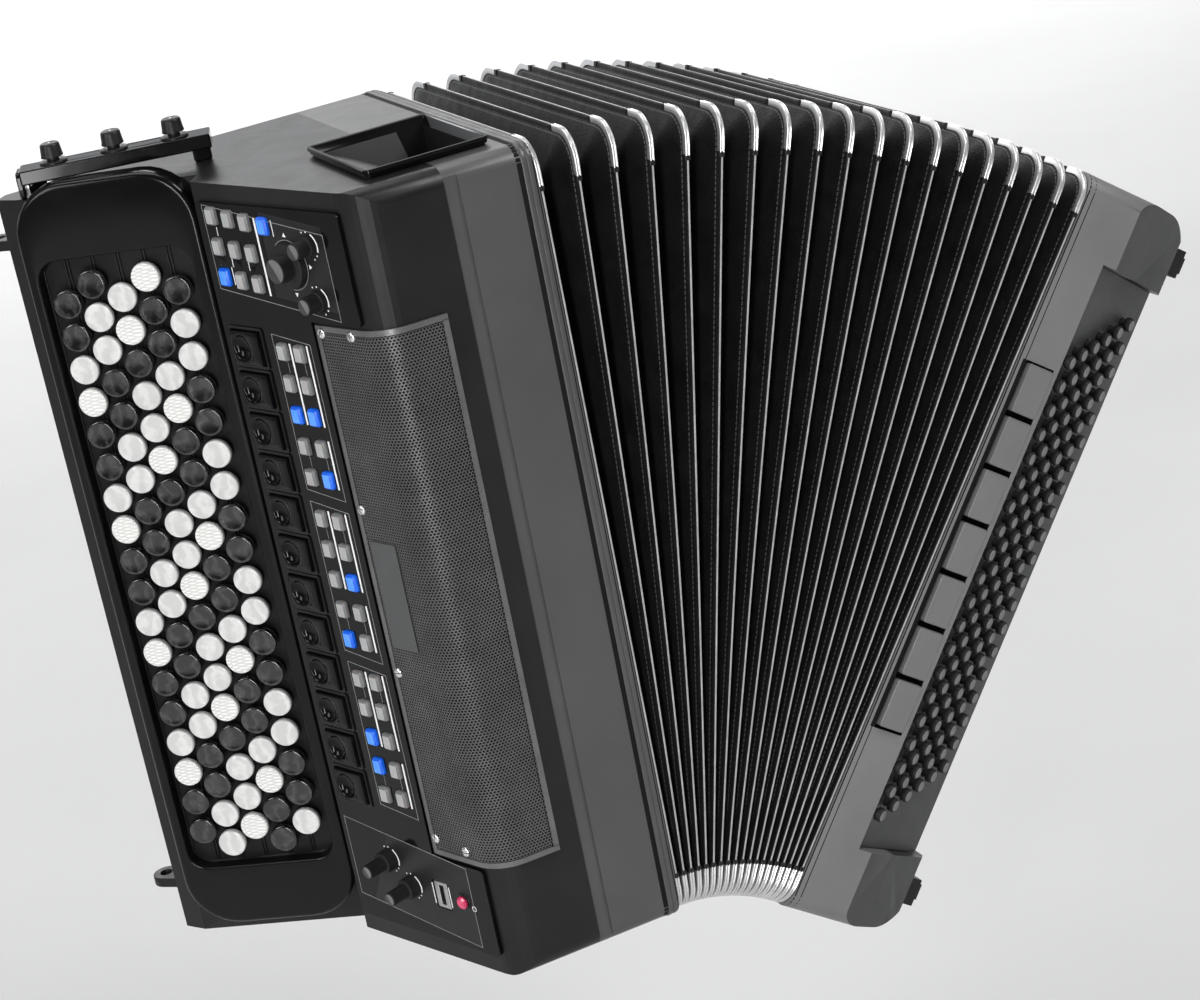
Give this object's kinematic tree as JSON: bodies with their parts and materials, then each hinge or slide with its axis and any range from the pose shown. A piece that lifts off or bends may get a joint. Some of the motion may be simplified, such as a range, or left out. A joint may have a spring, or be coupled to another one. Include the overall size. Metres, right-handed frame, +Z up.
{
  "type": "chromatic button accordion",
  "caption": "Open chromatic button accordion: treble casing with button keyboard and control panel, fan-folded bellows, bass casing with stud board and registers.",
  "frame": {"origin": "middle of the flat back rest face of the treble casing, where it lies against the player", "axes": "+X from the treble casing to the bass end along the closed bellows, +Y towards the player, +Z up the keyboard"},
  "size_m": [0.6571, 0.246, 0.5605],
  "materials": {
    "casing_black": "satin black lacquer with a fine texture",
    "strip_satin": "fine-textured satin anthracite",
    "keyboard_gloss": "high-gloss black",
    "bellows_cloth": "black bellows cloth with thin grey bindings and nickel corners",
    "grille_metal": "perforated dark steel",
    "nickel": "polished nickel",
    "speaker_black": "matte",
    "smoked_window": "smoked, glossy",
    "fascia_gloss": "gloss black",
    "tab_gloss": "gloss black",
    "pad_grey": "translucent grey silicone",
    "pad_blue": "translucent blue silicone",
    "knob_black": "satin black",
    "power_red": "translucent red",
    "socket_steel": "stamped steel",
    "pearl": "pearl buttons, white and black",
    "board_green": "printed circuit board",
    "bass_satin": "fine-textured satin anthracite",
    "stud_black": "satin black",
    "register_gloss": "gloss grey"
  },
  "bodies": {
    "treble": {"treble_casing": "casing_black", "treble_strip": "strip_satin", "treble_bellows_frame": "bellows_cloth", "treble_back_cover": "casing_black", "speaker_grille": "grille_metal", "grille_screws": "nickel", "speakers": "speaker_black", "display_window": "smoked_window", "control_fascia": "fascia_gloss", "usb_socket": "socket_steel", "keyboard_bed": "keyboard_gloss", "chin_bar": "tab_gloss", "top_funnel": "tab_gloss", "strap_lugs": "nickel", "circuit_board": "board_green"},
    "bellows_fold_01": {"bellows_fold_01": "bellows_cloth"},
    "bellows_fold_02": {"bellows_fold_02": "bellows_cloth"},
    "bellows_fold_03": {"bellows_fold_03": "bellows_cloth"},
    "bellows_fold_04": {"bellows_fold_04": "bellows_cloth"},
    "bellows_fold_05": {"bellows_fold_05": "bellows_cloth"},
    "bellows_fold_06": {"bellows_fold_06": "bellows_cloth"},
    "bellows_fold_07": {"bellows_fold_07": "bellows_cloth"},
    "bellows_fold_08": {"bellows_fold_08": "bellows_cloth"},
    "bellows_fold_09": {"bellows_fold_09": "bellows_cloth"},
    "bellows_fold_10": {"bellows_fold_10": "bellows_cloth"},
    "bellows_fold_11": {"bellows_fold_11": "bellows_cloth"},
    "bellows_fold_12": {"bellows_fold_12": "bellows_cloth"},
    "bellows_fold_13": {"bellows_fold_13": "bellows_cloth"},
    "bellows_fold_14": {"bellows_fold_14": "bellows_cloth"},
    "bellows_fold_15": {"bellows_fold_15": "bellows_cloth"},
    "bellows_fold_16": {"bellows_fold_16": "bellows_cloth"},
    "bellows_fold_17": {"bellows_fold_17": "bellows_cloth"},
    "bass": {"bass_bellows_frame": "bellows_cloth", "bass_casing": "bass_satin", "bass_cover": "bass_satin", "bass_board": "bass_satin", "hand_strap_blocks": "knob_black"},
    "button_row_a": {"button_row_a": "pearl"},
    "button_row_b": {"button_row_b": "pearl"},
    "button_row_c": {"button_row_c": "pearl"},
    "button_row_d": {"button_row_d": "pearl"},
    "button_row_e": {"button_row_e": "pearl"},
    "register_tabs": {"register_tabs": "tab_gloss"},
    "pads_grey": {"panel_buttons_grey": "pad_grey"},
    "pads_blue": {"panel_buttons_blue": "pad_blue"},
    "power_button": {"power_button": "power_red"},
    "chin_switches": {"chin_switches": "tab_gloss"},
    "encoder_wheel": {"encoder_wheel": "knob_black"},
    "level_knob_top": {"level_knob_top": "knob_black"},
    "level_knob_bottom": {"level_knob_bottom": "knob_black"},
    "mix_knob_left": {"mix_knob_left": "knob_black"},
    "mix_knob_right": {"mix_knob_right": "knob_black"},
    "bass_studs_1": {"bass_studs_1": "stud_black"},
    "bass_studs_2": {"bass_studs_2": "stud_black"},
    "bass_studs_3": {"bass_studs_3": "stud_black"},
    "bass_studs_4": {"bass_studs_4": "stud_black"},
    "bass_studs_5": {"bass_studs_5": "stud_black"},
    "bass_studs_6": {"bass_studs_6": "stud_black"},
    "bass_registers": {"bass_registers": "register_gloss"},
    "air_button": {"air_button": "knob_black"}
  },
  "joints": [
    {"name": "fan_01", "type": "hinge", "parent": "treble", "child": "bellows_fold_01", "pos_m": [0.1137, -0.223, -0.226], "axis": [0, 1, 0], "range_deg": [-2.41, 0.3]},
    {"name": "fan_02", "type": "hinge", "parent": "bellows_fold_01", "child": "bellows_fold_02", "pos_m": [0.1174, -0.223, -0.22616], "axis": [0, 1, 0], "range_deg": [-2.36, 0.29]},
    {"name": "fan_03", "type": "hinge", "parent": "bellows_fold_02", "child": "bellows_fold_03", "pos_m": [0.12108, -0.223, -0.22646], "axis": [0, 1, 0], "range_deg": [-2.32, 0.29]},
    {"name": "fan_04", "type": "hinge", "parent": "bellows_fold_03", "child": "bellows_fold_04", "pos_m": [0.12476, -0.223, -0.22692], "axis": [0, 1, 0], "range_deg": [-2.27, 0.28]},
    {"name": "fan_05", "type": "hinge", "parent": "bellows_fold_04", "child": "bellows_fold_05", "pos_m": [0.12841, -0.223, -0.22752], "axis": [0, 1, 0], "range_deg": [-2.22, 0.28]},
    {"name": "fan_06", "type": "hinge", "parent": "bellows_fold_05", "child": "bellows_fold_06", "pos_m": [0.13203, -0.223, -0.22827], "axis": [0, 1, 0], "range_deg": [-2.18, 0.27]},
    {"name": "fan_07", "type": "hinge", "parent": "bellows_fold_06", "child": "bellows_fold_07", "pos_m": [0.13562, -0.223, -0.22915], "axis": [0, 1, 0], "range_deg": [-2.13, 0.26]},
    {"name": "fan_08", "type": "hinge", "parent": "bellows_fold_07", "child": "bellows_fold_08", "pos_m": [0.13918, -0.223, -0.23016], "axis": [0, 1, 0], "range_deg": [-2.08, 0.26]},
    {"name": "fan_09", "type": "hinge", "parent": "bellows_fold_08", "child": "bellows_fold_09", "pos_m": [0.1427, -0.223, -0.2313], "axis": [0, 1, 0], "range_deg": [-2.03, 0.25]},
    {"name": "fan_10", "type": "hinge", "parent": "bellows_fold_09", "child": "bellows_fold_10", "pos_m": [0.14618, -0.223, -0.23257], "axis": [0, 1, 0], "range_deg": [-1.99, 0.25]},
    {"name": "fan_11", "type": "hinge", "parent": "bellows_fold_10", "child": "bellows_fold_11", "pos_m": [0.14961, -0.223, -0.23395], "axis": [0, 1, 0], "range_deg": [-1.94, 0.24]},
    {"name": "fan_12", "type": "hinge", "parent": "bellows_fold_11", "child": "bellows_fold_12", "pos_m": [0.15299, -0.223, -0.23545], "axis": [0, 1, 0], "range_deg": [-1.89, 0.24]},
    {"name": "fan_13", "type": "hinge", "parent": "bellows_fold_12", "child": "bellows_fold_13", "pos_m": [0.15632, -0.223, -0.23706], "axis": [0, 1, 0], "range_deg": [-1.84, 0.23]},
    {"name": "fan_14", "type": "hinge", "parent": "bellows_fold_13", "child": "bellows_fold_14", "pos_m": [0.1596, -0.223, -0.23878], "axis": [0, 1, 0], "range_deg": [-1.8, 0.22]},
    {"name": "fan_15", "type": "hinge", "parent": "bellows_fold_14", "child": "bellows_fold_15", "pos_m": [0.16282, -0.223, -0.2406], "axis": [0, 1, 0], "range_deg": [-1.75, 0.22]},
    {"name": "fan_16", "type": "hinge", "parent": "bellows_fold_15", "child": "bellows_fold_16", "pos_m": [0.16598, -0.223, -0.24252], "axis": [0, 1, 0], "range_deg": [-1.7, 0.21]},
    {"name": "fan_17", "type": "hinge", "parent": "bellows_fold_16", "child": "bellows_fold_17", "pos_m": [0.16909, -0.223, -0.24453], "axis": [0, 1, 0], "range_deg": [-1.66, 0.21]},
    {"name": "fan_18", "type": "hinge", "parent": "bellows_fold_17", "child": "bass", "pos_m": [0.17214, -0.223, -0.24663], "axis": [0, 1, 0], "range_deg": [-1.61, 0.2]},
    {"name": "row_a_press", "type": "slide", "parent": "treble", "child": "button_row_a", "axis": [0.5743, 0.8186, 0], "range_m": [0, 0.003], "stiffness_N_per_m": 400},
    {"name": "row_b_press", "type": "slide", "parent": "treble", "child": "button_row_b", "axis": [0.5743, 0.8186, 0], "range_m": [0, 0.003], "stiffness_N_per_m": 400},
    {"name": "row_c_press", "type": "slide", "parent": "treble", "child": "button_row_c", "axis": [0.5743, 0.8186, 0], "range_m": [0, 0.003], "stiffness_N_per_m": 400},
    {"name": "row_d_press", "type": "slide", "parent": "treble", "child": "button_row_d", "axis": [0.5743, 0.8186, 0], "range_m": [0, 0.003], "stiffness_N_per_m": 400},
    {"name": "row_e_press", "type": "slide", "parent": "treble", "child": "button_row_e", "axis": [0.5743, 0.8186, 0], "range_m": [0, 0.003], "stiffness_N_per_m": 400},
    {"name": "register_tabs_press", "type": "slide", "parent": "treble", "child": "register_tabs", "axis": [0.938, 0.3466, 0], "range_m": [0, 0.0025], "stiffness_N_per_m": 400},
    {"name": "pads_grey_press", "type": "slide", "parent": "treble", "child": "pads_grey", "axis": [0.938, 0.3466, 0], "range_m": [0, 0.0012], "stiffness_N_per_m": 400},
    {"name": "pads_blue_press", "type": "slide", "parent": "treble", "child": "pads_blue", "axis": [0.938, 0.3466, 0], "range_m": [0, 0.0012], "stiffness_N_per_m": 400},
    {"name": "power_button_press", "type": "slide", "parent": "treble", "child": "power_button", "axis": [0.938, 0.3466, 0], "range_m": [0, 0.0015], "stiffness_N_per_m": 400},
    {"name": "chin_switches_press", "type": "slide", "parent": "treble", "child": "chin_switches", "axis": [0, 0, -1], "range_m": [0, 0.003], "stiffness_N_per_m": 400},
    {"name": "encoder_turn", "type": "hinge", "parent": "treble", "child": "encoder_wheel", "pos_m": [-0.01211, -0.16911, 0.1857], "axis": [-0.938, -0.3466, 0], "continuous": true},
    {"name": "level_top_turn", "type": "hinge", "parent": "treble", "child": "level_knob_top", "pos_m": [-0.00605, -0.18553, 0.197], "axis": [-0.938, -0.3466, 0], "range_deg": [-150, 150]},
    {"name": "level_bottom_turn", "type": "hinge", "parent": "treble", "child": "level_knob_bottom", "pos_m": [-0.00639, -0.18459, 0.1673], "axis": [-0.938, -0.3466, 0], "range_deg": [-150, 150]},
    {"name": "mix_left_turn", "type": "hinge", "parent": "treble", "child": "mix_knob_left", "pos_m": [-0.02355, -0.13816, -0.1703], "axis": [-0.938, -0.3466, 0], "range_deg": [-150, 150]},
    {"name": "mix_right_turn", "type": "hinge", "parent": "treble", "child": "mix_knob_right", "pos_m": [-0.01835, -0.15223, -0.184], "axis": [-0.938, -0.3466, 0], "range_deg": [-150, 150]},
    {"name": "studs_1_press", "type": "slide", "parent": "bass", "child": "bass_studs_1", "axis": [-0.3913, 0.8746, 0.2862], "range_m": [0, 0.003], "stiffness_N_per_m": 400},
    {"name": "studs_2_press", "type": "slide", "parent": "bass", "child": "bass_studs_2", "axis": [-0.3913, 0.8746, 0.2862], "range_m": [0, 0.003], "stiffness_N_per_m": 400},
    {"name": "studs_3_press", "type": "slide", "parent": "bass", "child": "bass_studs_3", "axis": [-0.3913, 0.8746, 0.2862], "range_m": [0, 0.003], "stiffness_N_per_m": 400},
    {"name": "studs_4_press", "type": "slide", "parent": "bass", "child": "bass_studs_4", "axis": [-0.3913, 0.8746, 0.2862], "range_m": [0, 0.003], "stiffness_N_per_m": 400},
    {"name": "studs_5_press", "type": "slide", "parent": "bass", "child": "bass_studs_5", "axis": [-0.3913, 0.8746, 0.2862], "range_m": [0, 0.003], "stiffness_N_per_m": 400},
    {"name": "studs_6_press", "type": "slide", "parent": "bass", "child": "bass_studs_6", "axis": [-0.3913, 0.8746, 0.2862], "range_m": [0, 0.003], "stiffness_N_per_m": 400},
    {"name": "bass_registers_press", "type": "slide", "parent": "bass", "child": "bass_registers", "axis": [0, 1, 0], "range_m": [0, 0.003], "stiffness_N_per_m": 400},
    {"name": "air_button_press", "type": "slide", "parent": "bass", "child": "air_button", "axis": [-0.8072, 0, 0.5903], "range_m": [0, 0.004], "stiffness_N_per_m": 400}
  ]
}
